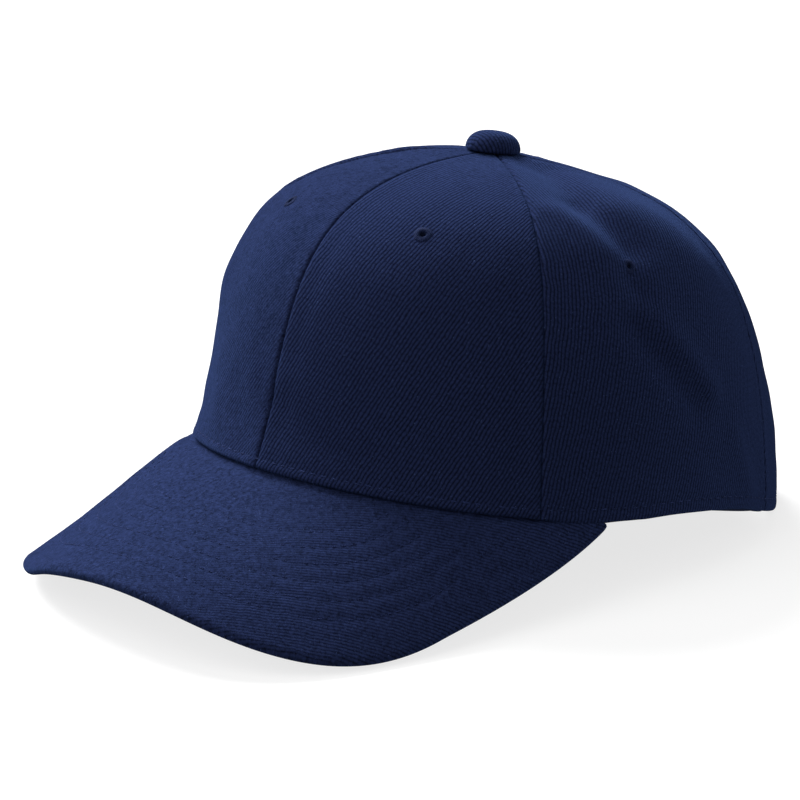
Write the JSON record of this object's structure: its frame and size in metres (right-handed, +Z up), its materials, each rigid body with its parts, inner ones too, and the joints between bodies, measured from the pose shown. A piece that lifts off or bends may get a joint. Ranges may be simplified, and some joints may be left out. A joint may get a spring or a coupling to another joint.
{
  "type": "baseball cap",
  "caption": "Structured six-panel cloth cap with a curved brim, worked eyelets, a covered top button and a hook-and-loop strap across a half-moon back opening.",
  "frame": {"origin": "centre of the footprint's box, on the surface that the cap stands on", "axes": "+Z up, -Y the way the wearer looks (brim forward), +X to the wearer's left"},
  "size_m": [0.1668, 0.2544, 0.1247],
  "materials": {
    "crown_twill": "cotton twill, brushed, navy",
    "brim_twill": "cotton twill over board, navy",
    "buckram": "stiffened open gauze",
    "seam_tape": "plain woven tape",
    "sweatband": "folded twill sweatband",
    "interlining": "soft non-woven",
    "board": "moulded polyethylene brim board",
    "thread": "polyester thread",
    "binding": "folded bias binding",
    "strap": "folded twill strap",
    "hook": "moulded hook tape",
    "loop": "brushed loop tape",
    "button_metal": "pressed shell",
    "button_steel": "plated shank and washer"
  },
  "bodies": {
    "crown": {"front_buckram_left": "buckram", "front_panel_left": "crown_twill", "front_eyelet_left": "thread", "side_panel_left": "crown_twill", "side_eyelet_left": "thread", "back_panel_left": "crown_twill", "back_eyelet_left": "thread", "back_panel_right": "crown_twill", "back_eyelet_right": "thread", "side_panel_right": "crown_twill", "side_eyelet_right": "thread", "front_buckram_right": "buckram", "front_panel_right": "crown_twill", "front_eyelet_right": "thread", "seam_tape_centre": "seam_tape", "seam_tape_left_to_right": "seam_tape", "seam_tape_right_to_left": "seam_tape", "sweatband_interlining": "interlining", "sweatband_cover": "sweatband", "rim_stitching": "thread", "brim_top_cover": "brim_twill", "brim_board": "board", "brim_under_cover": "brim_twill", "brim_stitching": "thread", "button_cover": "crown_twill", "button_shell": "button_metal", "button_post": "button_steel", "button_washer": "button_steel", "back_opening_binding": "binding", "strap_tab_left": "strap", "strap_tab_right": "strap"},
    "outer_strap": {"closure_strap_outer": "strap", "hook_patch": "hook"},
    "inner_strap": {"closure_strap_inner": "strap", "loop_patch": "loop"}
  },
  "joints": [
    {"name": "outer_strap_peel", "type": "hinge", "parent": "crown", "child": "outer_strap", "pos_m": [0.02939, 0.12018, 0.00161], "axis": [0.0003, 0.0606, -0.9982], "range_deg": [0, 100]},
    {"name": "inner_strap_fold", "type": "hinge", "parent": "crown", "child": "inner_strap", "pos_m": [-0.02867, 0.11784, 0.00166], "axis": [-0.0006, 0.0605, -0.9982], "range_deg": [0, 50]}
  ]
}
